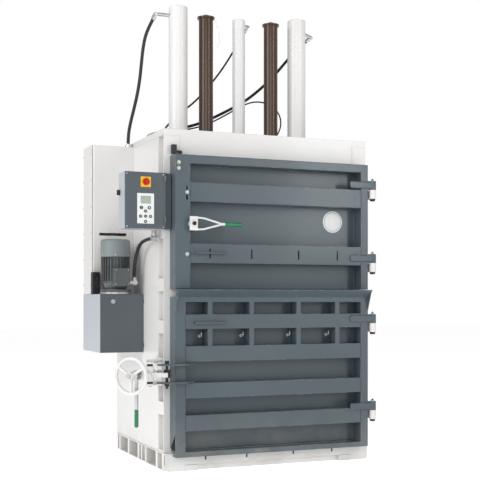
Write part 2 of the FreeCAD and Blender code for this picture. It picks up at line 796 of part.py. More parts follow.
def fan_cover():
    outer = rod(fan_cover_r, motor_axis + Z * 1322, motor_axis + Z * fan_cover_top)
    rim = [e for e in outer.Edges if e.BoundBox.ZMin > fan_cover_top - 0.1]
    outer = outer.makeFillet(16.0, rim)
    shape = outer.cut(rod(fan_cover_r - 1.4, motor_axis + Z * 1321, motor_axis + Z * (fan_cover_top - 16)))
    shape = shape.cut(rod(fan_cover_r - 18, motor_axis + Z * 1321, motor_axis + Z * (fan_cover_top - 2)))
    for radius in (30.0, 46.0, 62.0):
        slot = ring(radius + 5, radius, motor_axis + Z * (fan_cover_top - 6),
                    motor_axis + Z * (fan_cover_top + 1))
        bars = [box(-5, 5, -80, 80, 1400, 1450), box(-80, 80, -5, 5, 1400, 1450)]
        for bar in bars:
            slot = slot.cut(moved(bar, motor_axis))
        shape = shape.cut(slot)
    return shape


terminal = (-908.0, -803.0, -134.0, 1133.0, 1248.0)


def terminal_box():
    x0, x1, y0, z0, z1 = terminal
    shape = box(x0, x1, y0, motor_y - 40, z0, z1)
    shape = round_edges(shape, 8.0, lambda m, d: abs(d.z) > 0.9 and m.y < y0 + 1)
    return shape.cut(rod(fin_tip_r + 0.8, motor_axis + Z * 1100, motor_axis + Z * 1400))


def oil_pump():
    body = rod(45.0, motor_axis + Z * 930, motor_axis + Z * tank_top)
    shape = body.cut(rod(shaft_r + running_fit, motor_axis + Z * 1050, motor_axis + Z * (tank_top + 1)))
    inlet = rod(14.0, motor_axis + Z * 800, motor_axis + Z * 931)
    return join(shape, inlet)


def valve_block():
    block = box(-992, -945, 84, cover_front, tank_top, 1226)
    return join(block, rod(12.0, V(-968, 60, 1180), V(-968, 90, 1180)),
                rod(10.0, V(-968, 64, 1130), V(-968, 90, 1130)))


unit_hinge_x = -body_half - 7.0


def tank_front_door():
    panel = box(tank_left, -body_half - 3, tank_front, tank_front + tank_door - 0.8,
                tank_bottom, tank_top - 0.3)
    eyes = []
    for z in (755.0, 1035.0):
        eyes.append(rod(5.0, V(unit_hinge_x, tank_front - 5, z - 12),
                        V(unit_hinge_x, tank_front - 5, z + 12)))
    shape = join(panel, *eyes)
    return shape.cut(rod(9.05, V(-904, tank_front - 9, 1034), V(-904, tank_front + 20, 1034)))


def tank_lock():
    plug = rod(9.0, V(-904, tank_front - 3, 1034), V(-904, tank_front + tank_door + 6, 1034))
    collar = rod(14.0, V(-904, tank_front - 5, 1034), V(-904, tank_front - 0.2, 1034))
    cam = box(-909, -899, tank_front + tank_door + 0.5, tank_front + tank_door + 4, 1010, 1034)
    key = box(-905.5, -902.5, tank_front - 6, tank_front - 4, 1028, 1040)
    return join(plug, collar, cam).cut(key)


save("tank_cabinet", tank_cabinet())
save("tank_front_door", tank_front_door())
save("tank_lock", tank_lock())
save("rear_cover", rear_cover())
save("motor_body", motor_body())
save("motor_rotor", motor_rotor())
save("motor_fan", motor_fan())
save("fan_cover", fan_cover())
save("terminal_box", terminal_box())
save("oil_pump", oil_pump())
save("valve_block", valve_block())

# ---- control box ---------------------------------------------------------------------------------
box_wall = 2.0
keypad = (-882.0, -778.0, 1502.0, 1683.0)
keypad_thick = 5.0
display = (-862.0, -797.0, 1621.0, 1668.0)
knob_x = -829.0
knob_z = 1752.0
round_keys = [(-857.0, 1597.0), (-808.0, 1597.0)]
ring_centre = (-831.0, 1545.0)
ring_r = 31.0
round_key_r = 10.0
ring_key_r = 9.0


def control_box_body():
    front = box_front + box_door
    outer = box(box_left, -body_half, front, box_rear, box_bottom, box_top)
    inner = box(box_left + box_wall, -body_half - box_wall, front - 1, box_rear - box_wall,
                box_bottom + box_wall, box_top - box_wall)
    shape = outer.cut(inner)
    flange = box(-body_half, -683.0, front_y - 4, front_y - weld_gap, box_bottom, box_top)
    tie = box(-body_half - 4, -body_half, front_y - 4, box_rear, box_bottom, box_top)
    shape = join(shape, tie, flange)
    return shape.cut(rod(8.05, V(box_left - 5, box_rear - 30, 1693), V(box_left + 20, box_rear - 30, 1693)))


def control_lock():
    plug = rod(8.0, V(box_left - 8, box_rear - 30, 1693), V(box_left + box_wall + 6, box_rear - 30, 1693))
    wing = box(box_left - 20, box_left - 0.3, box_rear - 35, box_rear - 25, 1677, 1709)
    return join(plug, wing)


def key_places():
    places = [("key_left_round", round_keys[0], round_key_r), ("key_right_round", round_keys[1], round_key_r)]
    names = [("key_up", 90), ("key_left", 180), ("key_down", 270), ("key_right", 0)]
    for name, angle in names:
        a = math.radians(angle)
        centre = (ring_centre[0] + ring_r * math.cos(a), ring_centre[1] + ring_r * math.sin(a))
        places.append((name, centre, ring_key_r))
    places.append(("key_centre", ring_centre, ring_key_r))
    return places


def control_door():
    shape = box(box_left, -body_half - 3, box_front, box_front + box_door - 0.8, box_bottom, box_top)
    eyes = [rod(6.0, V(-body_half - 6, box_front - 5, z - 18), V(-body_half - 6, box_front - 5, z + 18))
            for z in (1530.0, 1775.0)]
    shape = join(shape, *eyes)
    for name, (x, z), radius in key_places():
        shape = shape.cut(rod(radius + key_clear, V(x, box_front - 1, z), V(x, box_front + 6, z)))
    return shape.cut(rod(7.05, V(knob_x, box_front - 10, knob_z), V(knob_x, box_front + 30, knob_z)))


def keypad_panel():
    x0, x1, z0, z1 = keypad
    shape = box(x0, x1, box_front - keypad_thick, box_front, z0, z1)
    for name, (x, z), radius in key_places():
        shape = shape.cut(rod(radius + key_clear, V(x, box_front - 10, z), V(x, box_front + 1, z)))
    x0, x1, z0, z1 = display
    return shape.cut(box(x0, x1, box_front - keypad_thick - 1, box_front - keypad_thick + 1, z0, z1))


def key(centre, radius):
    x, z = centre
    top = box_front - keypad_thick - 2.5
    return rod(radius, V(x, top, z), V(x, box_front + 6 - key_travel - 0.6, z))


def main_switch_knob():
    shaft = rod(7.0, V(knob_x, box_front - 12, knob_z), V(knob_x, box_front + box_door + 6, knob_z))
    dial = rod(21.0, V(knob_x, box_front - 16, knob_z), V(knob_x, box_front - 6, knob_z))
    bar = box(knob_x - 6, knob_x + 6, box_front - 32, box_front - 14, knob_z - 20, knob_z + 20)
    return join(shaft, dial, bar)


def main_switch_plate():
    plate = box(knob_x - 31, knob_x + 31, box_front - 5, box_front, knob_z - 31, knob_z + 31)
    return plate.cut(rod(7.1, V(knob_x, box_front - 9, knob_z), V(knob_x, box_front + 1, knob_z)))


def limit_switch():
    body = box(-655, -627, front_y - 34, front_y, 1937, 1990)
    arm = box(-627, -596, front_y - 26, front_y - 20, 1944, 1956)
    roller = rod(10.0, V(-600, front_y - 32, 1944), V(-600, front_y - 14, 1944))
    return join(body, arm, roller)


save("control_box_body", control_box_body())
save("control_door", control_door())
save("control_lock", control_lock())
save("keypad_panel", keypad_panel())
save("main_switch_plate", main_switch_plate())
save("main_switch_knob", main_switch_knob())
for name, centre, radius in key_places():
    save(name, key(centre, radius))
save("limit_switch", limit_switch())

# ---- hoses, cables and their fittings ------------------------------------------------------------
left_hose_r = 11.0
left_hose = [V(-732, 159, 2083), V(-732, 159, 2140), V(-722, 148, 2215), V(-705, 130, 2300),
             V(-688, 105, 2395), V(-677, 78, 2495), V(-673, 52, 2605), V(-668, 28, 2715),
             V(-650, 10, 2810), V(-612, 2, 2884)]
centre_hose_r = 6.5
centre_hose = [V(-500, 150, 2112), V(-500, 150, 2165), V(-462, 149, 2225), V(-405, 147, 2280),
               V(-345, 146, 2334), V(-262, 151, 2400), V(-190, 144, 2480), V(-123, 138, 2562),
               V(-60, 127, 2650), V(-6, 114, 2740), V(42, 101, 2822), V(82, 88, 2894)]
right_hose_r = 10.0
right_knee = V(-572, 196, 2154)
right_hose = [V(-535, 191, 2171), V(-498, 186, 2188), V(-425, 176, 2206), V(-325, 161, 2222),
              V(-205, 150, 2262), V(-100, 144, 2314), V(0, 140, 2368), V(96, 138, 2424),
              V(180, 136, 2488), V(256, 132, 2556), V(330, 126, 2632), V(400, 117, 2716),
              V(470, 104, 2800), V(552, 88, 2876)]
sensor_r = 5.0
sensor_cable = [V(-430, 146, 2112), V(-430, 146, 2144), V(-415, 144, 2172), V(-387, 141, 2191),
                V(-322, 136, 2205), V(-236, 129, 2226), V(-150, 122, 2262), V(-70, 118, 2306),
                V(8, 114, 2352), V(82, 110, 2396), V(156, 105, 2424), V(236, 101, 2424),
                V(308, 99, 2396), V(356, 99, 2340), V(364, 99, 2268), V(336, 99, 2204),
                V(304, 99, 2158), V(304, 99, 2112)]
motor_cable_r = 11.0
box_gland_knee = V(-740, -430, 1424)
motor_gland_knee = V(-768, -102, 1158)
motor_cable = [V(-740, -398, 1424), V(-740, -348, 1424), V(-750, -290, 1419), V(-757, -228, 1408),
               V(-759, -172, 1382), V(-761, -130, 1338), V(-765, -108, 1286), V(-768, -102, 1232),
               V(-768, -102, 1190)]


def soft_tube(points, radius, name):
    """A tube along straight runs joined by arcs, each as large as its two runs allow."""
    bends = []
    for before, point, after in zip(points, points[1:], points[2:]):
        a = (point - before).normalize()
        b = (after - point).normalize()
        turn = a.getAngle(b)
        reach = 0.45 * min((point - before).Length, (after - point).Length)
        bends.append((point - a * reach, point + b * reach, a, b, turn, reach / math.tan(turn / 2)))
    edges = []
    start = points[0]
    for entry, leave, a, b, turn, bend_r in bends:
        corner = entry + a * (bend_r * math.tan(turn / 2))
        centre_dir = (b - a).normalize()
        centre = corner + centre_dir * (bend_r / math.cos(turn / 2))
        middle = centre - centre_dir * bend_r
        edges.append(Part.LineSegment(start, entry).toShape())
        edges.append(Part.Arc(entry, middle, leave).toShape())
        start = leave
    edges.append(Part.LineSegment(start, points[-1]).toShape())
    path = Part.Wire(edges)
    profile = Part.Wire([Part.Circle(points[0], points[1] - points[0], radius).toShape()])
    tube = path.makePipeShell([profile], True, False)
    expected = math.pi * radius ** 2 * path.Length
    print(name, "length", round(path.Length), "radii", [round(b[5]) for b in bends],
          "volume ratio", round(tube.Volume / expected, 4))
    return tube


def bulkhead(point, radius, base):
    """The nut and stub that carry a hose end straight up from a plate."""
    nut = rod(radius * 1.9, V(point.x, point.y, base), V(point.x, point.y, base + 12))
    stub = rod(radius * 1.25, V(point.x, point.y, base + 12), V(point.x, point.y, point.z))
    return join(nut, stub)


def knee_fitting(base, knee, end, outer):
    """An angled fitting: a stub from its plate, a drum at the knee, then a sleeve up to the hose."""
    across = (knee - base).cross(end - knee).normalize() * (outer * 1.2)
    return join(rod(outer, base, knee), rod(outer * 1.2, knee - across, knee + across),
                rod(outer, knee, end))


def elbow(points, radius, barrel_x, barrel_r, port):
    """Ferrule on the hose's end, then the elbow into the port on the barrel's wall."""
    end = points[-1]
    direction = (end - points[-2]).normalize()
    knee = end + direction * 46
    ferrule = rod(radius * 1.2, end, end + direction * 30)
    neck = rod(radius * 0.85, end + direction * 28, knee)
    across = direction.cross(port - knee).normalize() * (radius * 1.15)
    drum = rod(radius * 1.2, knee - across, knee + across)
    arm = rod(radius * 1.05, knee, port)
    shape = join(ferrule, neck, drum, arm)
    return shape.cut(rod(barrel_r + weld_gap, V(barrel_x, 0, 2700), V(barrel_x, 0, 3000)))


save("left_hose", soft_tube(left_hose, left_hose_r, "left_hose"))
save("centre_hose", soft_tube(centre_hose, centre_hose_r, "centre_hose"))
save("right_hose", soft_tube(right_hose, right_hose_r, "right_hose"))
save("sensor_cable", soft_tube(sensor_cable, sensor_r, "sensor_cable"))
save("motor_cable", soft_tube(motor_cable, motor_cable_r, "motor_cable"))
save("hose_bulkheads", bulkhead(left_hose[0], left_hose_r, cover_top),
     bulkhead(centre_hose[0], centre_hose_r, deck_top),
     knee_fitting(V(right_knee.x, right_knee.y, deck_top), right_knee, right_hose[0], right_hose_r + 3),
     bulkhead(sensor_cable[0], sensor_r, deck_top), bulkhead(sensor_cable[-1], sensor_r, deck_top),
     knee_fitting(V(box_gland_knee.x, box_gland_knee.y, box_bottom), box_gland_knee,
                  motor_cable[0], motor_cable_r + 4),
     knee_fitting(V(terminal[1], motor_gland_knee.y, motor_gland_knee.z), motor_gland_knee,
                  motor_cable[-1], motor_cable_r + 4))
save("hose_elbows",
     elbow(left_hose, left_hose_r, -outer_cylinder_x, outer_barrel_r, V(-outer_cylinder_x, 0, 2926)),
     elbow(centre_hose, centre_hose_r, 0, centre_barrel_r, V(0, 0, 2918)),
     elbow(right_hose, right_hose_r, outer_cylinder_x, outer_barrel_r, V(outer_cylinder_x, 0, 2926)))
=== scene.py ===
import bpy
import json
import math
import numpy as np
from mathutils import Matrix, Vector


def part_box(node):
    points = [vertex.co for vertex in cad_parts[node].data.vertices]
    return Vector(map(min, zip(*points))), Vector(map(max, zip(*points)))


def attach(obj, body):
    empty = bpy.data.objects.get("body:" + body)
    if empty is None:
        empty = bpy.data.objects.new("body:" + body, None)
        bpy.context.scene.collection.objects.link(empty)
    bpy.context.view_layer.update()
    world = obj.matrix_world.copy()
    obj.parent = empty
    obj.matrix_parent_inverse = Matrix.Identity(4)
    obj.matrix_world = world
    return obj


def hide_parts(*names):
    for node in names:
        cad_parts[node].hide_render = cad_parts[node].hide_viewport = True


# Vertical baler: finishes, welds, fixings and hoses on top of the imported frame. Metres, same frame as the
# CAD.

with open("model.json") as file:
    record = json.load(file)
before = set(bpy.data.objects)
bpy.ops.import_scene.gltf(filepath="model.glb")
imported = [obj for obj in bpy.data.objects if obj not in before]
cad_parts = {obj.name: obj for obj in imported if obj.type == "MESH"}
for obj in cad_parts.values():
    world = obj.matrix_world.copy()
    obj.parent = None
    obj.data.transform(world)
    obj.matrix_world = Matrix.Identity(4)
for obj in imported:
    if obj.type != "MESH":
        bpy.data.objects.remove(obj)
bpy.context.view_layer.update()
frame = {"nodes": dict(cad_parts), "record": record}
nodes = frame["nodes"]
print("frame loaded:", len(nodes), "nodes")

# camera
view = {"place": (-2.6304, -6.3420, 1.0412), "turn": -22.6, "lens": 75.7, "shiftY": 0.126}
cameraData = bpy.data.cameras.new("viewCamera")
cameraData.lens = view["lens"]
cameraData.sensor_width = 36.0
cameraData.shift_y = view["shiftY"]
camera = bpy.data.objects.new("viewCamera", cameraData)
camera.location = view["place"]
camera.rotation_euler = (math.radians(90), 0, math.radians(view["turn"]))
bpy.context.scene.collection.objects.link(camera)
bpy.context.scene.camera = camera
print("camera placed")


# node helpers, one finish each
def startMaterial(name):
    material = bpy.data.materials.new(name)
    material.use_nodes = True
    tree = material.node_tree
    tree.nodes.clear()
    out = tree.nodes.new("ShaderNodeOutputMaterial")
    surface = tree.nodes.new("ShaderNodeBsdfPrincipled")
    tree.links.new(surface.outputs[0], out.inputs[0])
    place = tree.nodes.new("ShaderNodeTexCoord").outputs["Object"]
    return material, tree, surface, place


def addNoise(tree, place, scale, detail=3.0, stretch=None):
    if stretch:
        mapping = tree.nodes.new("ShaderNodeMapping")
        mapping.inputs["Scale"].default_value = stretch
        tree.links.new(place, mapping.inputs["Vector"])
        place = mapping.outputs[0]
    noise = tree.nodes.new("ShaderNodeTexNoise")
    noise.inputs["Scale"].default_value = scale
    noise.inputs["Detail"].default_value = detail
    tree.links.new(place, noise.inputs["Vector"])
    return noise.outputs["Fac"]


def addRange(tree, value, low, high, toLow, toHigh):
    node = tree.nodes.new("ShaderNodeMapRange")
    for slot, number in zip(("From Min", "From Max", "To Min", "To Max"), (low, high, toLow, toHigh)):
        node.inputs[slot].default_value = number
    tree.links.new(value, node.inputs["Value"])
    return node.outputs[0]


def addMath(tree, kind, a, b):
    node = tree.nodes.new("ShaderNodeMath")
    node.operation = kind
    for i, v in enumerate((a, b)):
        if isinstance(v, (int, float)):
            node.inputs[i].default_value = v
        else:
            tree.links.new(v, node.inputs[i])
    return node.outputs[0]


def addMix(tree, amount, a, b):
    node = tree.nodes.new("ShaderNodeMix")
    node.data_type = "RGBA"
    tree.links.new(amount, node.inputs["Factor"])
    for slot, v in ((node.inputs["A"], a), (node.inputs["B"], b)):
        if isinstance(v, tuple):
            slot.default_value = (*v, 1.0)
        else:
            tree.links.new(v, slot)
    return node.outputs["Result"]


def addBump(tree, surface, height, strength, distance):
    bump = tree.nodes.new("ShaderNodeBump")
    bump.inputs["Strength"].default_value = strength
    bump.inputs["Distance"].default_value = distance
    tree.links.new(height, bump.inputs["Height"])
    tree.links.new(bump.outputs[0], surface.inputs["Normal"])
    return bump


# sprayed and baked paint: slow cloud of tint, orange peel, thin worn edges that on dark paint also carry a
# painted edge highlight, and dust that fades with height
def sprayedPaint(name, look):
    material, tree, surface, place = startMaterial(name)
    cloud = addRange(tree, addNoise(tree, place, look.get("cloud", 1.7), 4.0), 0.35, 0.65, 0.0, 1.0)
    colour = addMix(tree, cloud, look["colour"], look["tint"])
    fine = addNoise(tree, place, 46.0, 6.0)
    rough = addRange(tree, fine, 0.3, 0.7, look["rough"] - 0.04, look["rough"] + 0.05)
    # worn edge and painted edge highlight: the angle between the rounded normal and the true one, broken up
    # by noise; where the edge colour is lighter than the paint it paints the highlight that bent edges catch
    rounded = tree.nodes.new("ShaderNodeBevel")
    rounded.samples = 6
    rounded.inputs["Radius"].default_value = look.get("bend", 0.004)
    if look.get("edgeWearAndHighlightShare", 0.0) > 0:
        flat = tree.nodes.new("ShaderNodeNewGeometry")
        dot = tree.nodes.new("ShaderNodeVectorMath")
        dot.operation = "DOT_PRODUCT"
        tree.links.new(rounded.outputs[0], dot.inputs[0])
        tree.links.new(flat.outputs["Normal"], dot.inputs[1])
        edge = addRange(tree, dot.outputs["Value"], 0.98, 0.80, 0.0, 1.0)
        chipsAndHighlight = addRange(tree, addNoise(tree, place, 21.0, 8.0), 0.52, 0.68, 0.0, look["edgeWearAndHighlightShare"])
        colour = addMix(tree, addMath(tree, "MULTIPLY", edge, chipsAndHighlight), colour, look["edgeWearAndHighlight"])
    # dust: strongest on the floor, gone at the given height, broken up by noise
    split = tree.nodes.new("ShaderNodeSeparateXYZ")
    tree.links.new(place, split.inputs[0])
    low = addRange(tree, split.outputs["Z"], 0.0, look.get("dustTop", 0.3), look.get("dust", 0.25), 0.0)
    patch = addRange(tree, addNoise(tree, place, 7.0, 9.0), 0.4, 0.7, 0.15, 1.0)
    dusty = addMath(tree, "MULTIPLY", low, patch)
    colour = addMix(tree, dusty, colour, look.get("dustColour", (0.42, 0.39, 0.34)))
    tree.links.new(colour, surface.inputs["Base Color"])
    tree.links.new(addMath(tree, "ADD", rough, addMath(tree, "MULTIPLY", dusty, 0.3)),
                   surface.inputs["Roughness"])
    surface.inputs["Specular IOR Level"].default_value = look.get("shine", 0.45)
    surface.inputs["Coat Weight"].default_value = look.get("coat", 0.0)
    surface.inputs["Coat Roughness"].default_value = 0.12
    bump = addBump(tree, surface, addNoise(tree, place, look.get("peel", 240.0), 2.0),
                   look.get("peelDepth", 0.12), 0.0006)
    tree.links.new(rounded.outputs[0], bump.inputs["Normal"])
    return material


# ground steel: fine grain drawn out across one axis, with slow patches of dullness
def groundSteel(name, look):
    material, tree, surface, place = startMaterial(name)
    grain = addNoise(tree, place, 160.0, 4.0, look.get("grain", (1.0, 1.0, 8.0)))
    patch = addNoise(tree, place, 12.0, 5.0)
    tree.links.new(addMix(tree, addRange(tree, patch, 0.35, 0.65, 0.0, 1.0), look["colour"], look["tint"]),
                   surface.inputs["Base Color"])
    tree.links.new(addRange(tree, grain, 0.3, 0.7, look["rough"] - 0.08, look["rough"] + 0.1),
                   surface.inputs["Roughness"])
    surface.inputs["Metallic"].default_value = 1.0
    addBump(tree, surface, grain, 0.08, 0.0003)
    return material


# moulded plastic or rubber: even colour with a fine spark-eroded texture
def mouldedSkin(name, look):
    material, tree, surface, place = startMaterial(name)
    slow = addRange(tree, addNoise(tree, place, 18.0, 3.0), 0.35, 0.65, 0.0, 1.0)
    tree.links.new(addMix(tree, slow, look["colour"], look["tint"]), surface.inputs["Base Color"])
    fine = addNoise(tree, place, look.get("texture", 900.0), 3.0)
    tree.links.new(addRange(tree, fine, 0.3, 0.7, look["rough"] - 0.05, look["rough"] + 0.07),
                   surface.inputs["Roughness"])
    surface.inputs["Specular IOR Level"].default_value = look.get("shine", 0.4)
    addBump(tree, surface, fine, look.get("depth", 0.1), 0.0002)
    return material


white = {"colour": (0.735, 0.725, 0.712), "tint": (0.695, 0.688, 0.678), "rough": 0.34, "edgeWearAndHighlightShare": 0.55,
         "edgeWearAndHighlight": (0.42, 0.41, 0.40), "dust": 0.4, "dustTop": 0.22, "coat": 0.15}
# door grey: its lighter worn-edge colour is mostly a painted highlight along the bent channel edges, partly
# real wear
doorGrey = {"colour": (0.074, 0.101, 0.116), "tint": (0.064, 0.089, 0.104), "rough": 0.36, "edgeWearAndHighlightShare": 0.8,
            "edgeWearAndHighlight": (0.30, 0.33, 0.35), "dust": 0.35, "dustTop": 0.35, "coat": 0.1, "bend": 0.008}
cabinetGrey = {"colour": (0.080, 0.098, 0.110), "tint": (0.071, 0.088, 0.100), "rough": 0.33, "edgeWearAndHighlightShare": 0.7,
               "edgeWearAndHighlight": (0.25, 0.27, 0.29), "dust": 0.1, "dustTop": 0.3, "coat": 0.3}
cabinetLight = {"colour": (0.46, 0.49, 0.53), "tint": (0.42, 0.45, 0.49), "rough": 0.36, "edgeWearAndHighlightShare": 0.6,
                "edgeWearAndHighlight": (0.3, 0.3, 0.31), "dust": 0.1, "dustTop": 0.3}
postBrown = {"colour": (0.066, 0.032, 0.018), "tint": (0.056, 0.026, 0.015), "rough": 0.3, "edgeWearAndHighlightShare": 0.4,
             "edgeWearAndHighlight": (0.3, 0.28, 0.26), "dust": 0.0, "coat": 0.25, "shine": 0.3}
motorGrey = {"colour": (0.21, 0.245, 0.25), "tint": (0.18, 0.21, 0.215), "rough": 0.42, "edgeWearAndHighlightShare": 0.5,
             "edgeWearAndHighlight": (0.4, 0.4, 0.4), "dust": 0.0, "peel": 120.0, "peelDepth": 0.3}
finDark = {**motorGrey, "colour": (0.085, 0.098, 0.10), "tint": (0.068, 0.079, 0.081), "rough": 0.3,
           "coat": 0.4}
finish = {
    "body_white": sprayedPaint("bodyWhite", white),
    "door_grey": sprayedPaint("doorGrey", doorGrey),
    "cabinet_grey": sprayedPaint("cabinetGrey", cabinetGrey),
    "cabinet_light": sprayedPaint("cabinetLight", cabinetLight),
    "post_brown": sprayedPaint("postBrown", postBrown),
    "motor_grey": sprayedPaint("motorGrey", motorGrey),
    "motor_dark": sprayedPaint("motorDark", finDark),
    "bright_steel": groundSteel("brightSteel", {"colour": (0.62, 0.62, 0.61), "tint": (0.52, 0.52, 0.52),
                                                "rough": 0.3}),
    "grip_green": mouldedSkin("gripGreen", {"colour": (0.012, 0.19, 0.075), "tint": (0.010, 0.155, 0.06),
                                            "rough": 0.28, "shine": 0.5}),
    "hose_black": mouldedSkin("hoseBlack", {"colour": (0.018, 0.018, 0.020), "tint": (0.026, 0.026, 0.028),
                                            "rough": 0.45, "texture": 500.0, "shine": 0.3}),
    "black_plastic": mouldedSkin("blackPlastic",
                                 {"colour": (0.018, 0.018, 0.019), "tint": (0.024, 0.024, 0.025),
                                                  "rough": 0.42}),
    "keypad_white": mouldedSkin("keypadWhite", {"colour": (0.72, 0.74, 0.73), "tint": (0.69, 0.71, 0.70),
                                                "rough": 0.4, "texture": 1400.0}),
    "switch_yellow": mouldedSkin("switchYellow", {"colour": (0.80, 0.50, 0.018), "tint": (0.76, 0.46, 0.015),
                                                  "rough": 0.35}),
    "switch_red": mouldedSkin("switchRed", {"colour": (0.52, 0.018, 0.012), "tint": (0.46, 0.014, 0.01),
                                            "rough": 0.25, "shine": 0.5}),
}
weldSeam = sprayedPaint("weldSeam", {**doorGrey, "rough": 0.42, "edgeWearAndHighlightShare": 0.0})
weldSeamWhite = sprayedPaint("weldSeamWhite", {**white, "rough": 0.4, "edgeWearAndHighlightShare": 0.0})
zincPlate = groundSteel("zincPlate", {"colour": (0.60, 0.60, 0.57), "tint": (0.50, 0.50, 0.50), "rough": 0.34,
                                      "grain": (1.0, 1.0, 1.0)})
darkSteel = groundSteel("darkSteel", {"colour": (0.045, 0.045, 0.047), "tint": (0.06, 0.06, 0.06),
                                      "rough": 0.42})
displayGlass = mouldedSkin("displayGlass", {"colour": (0.36, 0.42, 0.36), "tint": (0.33, 0.39, 0.33),
                                            "rough": 0.1,
                                            "texture": 60.0, "depth": 0.0})

slotOf = {part["node"]: part["material_slot"] for part in frame["record"]["subparts"]}
darkenedNodes = ("lock_bolt", "lock_washers", "valve_block")
for nodeName, node in nodes.items():
    node.data.materials.clear()
    node.data.materials.append(darkSteel if nodeName in darkenedNodes else finish[slotOf[nodeName]])
print("finishes on", len(nodes), "nodes")


# mesh helpers
# one object from many point blocks and their faces, with place in the mesh
def addPiece(name, blocks, material, body, smooth=True):
    points, faces, start = [], [], 0
    for blockPoints, blockFaces in blocks:
        points.append(np.asarray(blockPoints, float).reshape(-1, 3))
        faces += [[i + start for i in face] for face in blockFaces]
        start += len(points[-1])
    mesh = bpy.data.meshes.new(name)
    mesh.from_pydata(np.concatenate(points).tolist(), [], faces)
    mesh.validate()
    mesh.polygons.foreach_set("use_smooth", [smooth] * len(mesh.polygons))
    mesh.materials.append(material)
    piece = bpy.data.objects.new(name, mesh)
    bpy.context.scene.collection.objects.link(piece)
    if smooth:
        mesh.set_sharp_from_angle(angle=math.radians(38))
    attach(piece, body)
    return piece


# faces of a grid of rows by columns points, columns closed on themselves, with both end rows filled
def tubeFaces(rows, columns):
    faces = []
    for r in range(rows - 1):
        for c in range(columns):
            d = (c + 1) % columns
            faces.append([r * columns + c, r * columns + d, (r + 1) * columns + d, (r + 1) * columns + c])
    faces.append(list(range(columns))[::-1])
    faces.append([(rows - 1) * columns + c for c in range(columns)])
    return faces


# two unit directions square to an axis
def squareTo(axis):
    axis = np.asarray(axis, float) / np.linalg.norm(axis)
    helper = np.array([0.0, 0.0, 1.0]) if abs(axis[2]) < 0.9 else np.array([1.0, 0.0, 0.0])
    first = np.cross(axis, helper)
    first /= np.linalg.norm(first)
    return axis, first, np.cross(axis, first)


# profile of (radius, height, hex share) turned about an axis: radius times (1 - h + h * hexagon at that
# angle)
def turnedBlock(base, axis, profile, columns=24):
    axis, first, second = squareTo(axis)
    angle = np.linspace(0, 2 * math.pi, columns, endpoint=False)
    hexagon = 1 / np.cos((angle % (math.pi / 3)) - math.pi / 6)
    radius = np.array([[r] for r, h, share in profile])
    height = np.array([[h] for r, h, share in profile])
    share = np.array([[s] for r, h, s in profile])
    reach = radius * (1 - share + share * hexagon[None, :])
    points = (np.asarray(base, float) + reach[..., None] * (np.cos(angle)[:, None] * first
              + np.sin(angle)[:, None] * second) + height[..., None] * axis)
    return points.reshape(-1, 3), tubeFaces(len(profile), columns)


# hexagon head bolt on a washer, sized from its thread radius
def boltBlocks(base, axis, thread):
    washer = [(thread * 2.1, 0.0, 0), (thread * 2.1, thread * 0.32, 0), (thread * 1.6, thread * 0.36, 0)]
    head = [(thread * 1.62, thread * 0.3, 1), (thread * 1.62, thread * 1.45, 1),
            (thread * 1.5, thread * 1.62, 0.6),
            (thread * 1.25, thread * 1.66, 0), (thread * 0.4, thread * 1.6, 0)]
    return [turnedBlock(base, axis, washer), turnedBlock(base, axis, head)]


# round washer head with a cross recess left plain, for thin sheet
def screwBlocks(base, axis, radius):
    head = [(radius, 0.0, 0), (radius, radius * 0.25, 0), (radius * 0.82, radius * 0.5, 0),
            (radius * 0.5, radius * 0.62, 0), (radius * 0.28, radius * 0.6, 0),
            (radius * 0.18, radius * 0.35, 0)]
    return [turnedBlock(base, axis, head, 18)]


# tube along straight or curved points: ring at each point, radius r * (1 + ripple * |sin(pi * length /
# pitch)|)
def runBlock(path, radius, ripple=0.0, pitch=0.008, columns=8):
    path = np.asarray(path, float)
    step = np.gradient(path, axis=0)
    step /= np.linalg.norm(step, axis=1)[:, None]
    helper = np.array([0.0, 0.0, 1.0]) if np.abs(step[:, 2]).max() < 0.9 else np.array([0.71, 0.70, 0.05])
    first = np.cross(step, helper)
    first /= np.linalg.norm(first, axis=1)[:, None]
    second = np.cross(step, first)
    along = np.concatenate([[0], np.cumsum(np.linalg.norm(np.diff(path, axis=0), axis=1))])
    size = radius * (1 + ripple * np.abs(np.sin(math.pi * along / pitch)))
    angle = np.linspace(0, 2 * math.pi, columns, endpoint=False)
    points = path[:, None, :] + size[:, None, None] * (np.cos(angle)[None, :, None] * first[:, None, :]
                                                       + np.sin(angle)[None, :, None] * second[:, None, :])
    return points.reshape(-1, 3), tubeFaces(len(path), columns)


# straight weld bead between two points, three rings to each ripple
def beadBlock(start, end, radius=0.0028, pitch=0.009):
    start, end = np.asarray(start, float), np.asarray(end, float)
    rings = max(3, int(np.linalg.norm(end - start) / pitch * 2) + 1)
    t = np.linspace(0, 1, rings)[:, None]
    return runBlock(start + t * (end - start), radius, 0.28, pitch, 6)


# ring-shaped weld bead about a point, in the plane square to an axis
def ringBead(centre, axis, reach, radius=0.003, steps=96):
    axis, first, second = squareTo(axis)
    angle = np.linspace(0, 2 * math.pi, steps, endpoint=False)
    size = radius * (1 + 0.25 * np.abs(np.sin(angle * steps / 8)))
    turn = np.linspace(0, 2 * math.pi, 8, endpoint=False)
    out = np.cos(angle)[:, None] * first + np.sin(angle)[:, None] * second
    points = (np.asarray(centre, float) + out[:, None,
                                              :] * (reach + size[:, None, None] * np.cos(turn)[None, :, None])
              + size[:, None, None] * np.sin(turn)[None, :, None] * axis)
    faces = []
    for a in range(steps):
        b = (a + 1) % steps
        for c in range(8):
            d = (c + 1) % 8
            faces.append([a * 8 + c, b * 8 + c, b * 8 + d, a * 8 + d])
    return points.reshape(-1, 3), faces


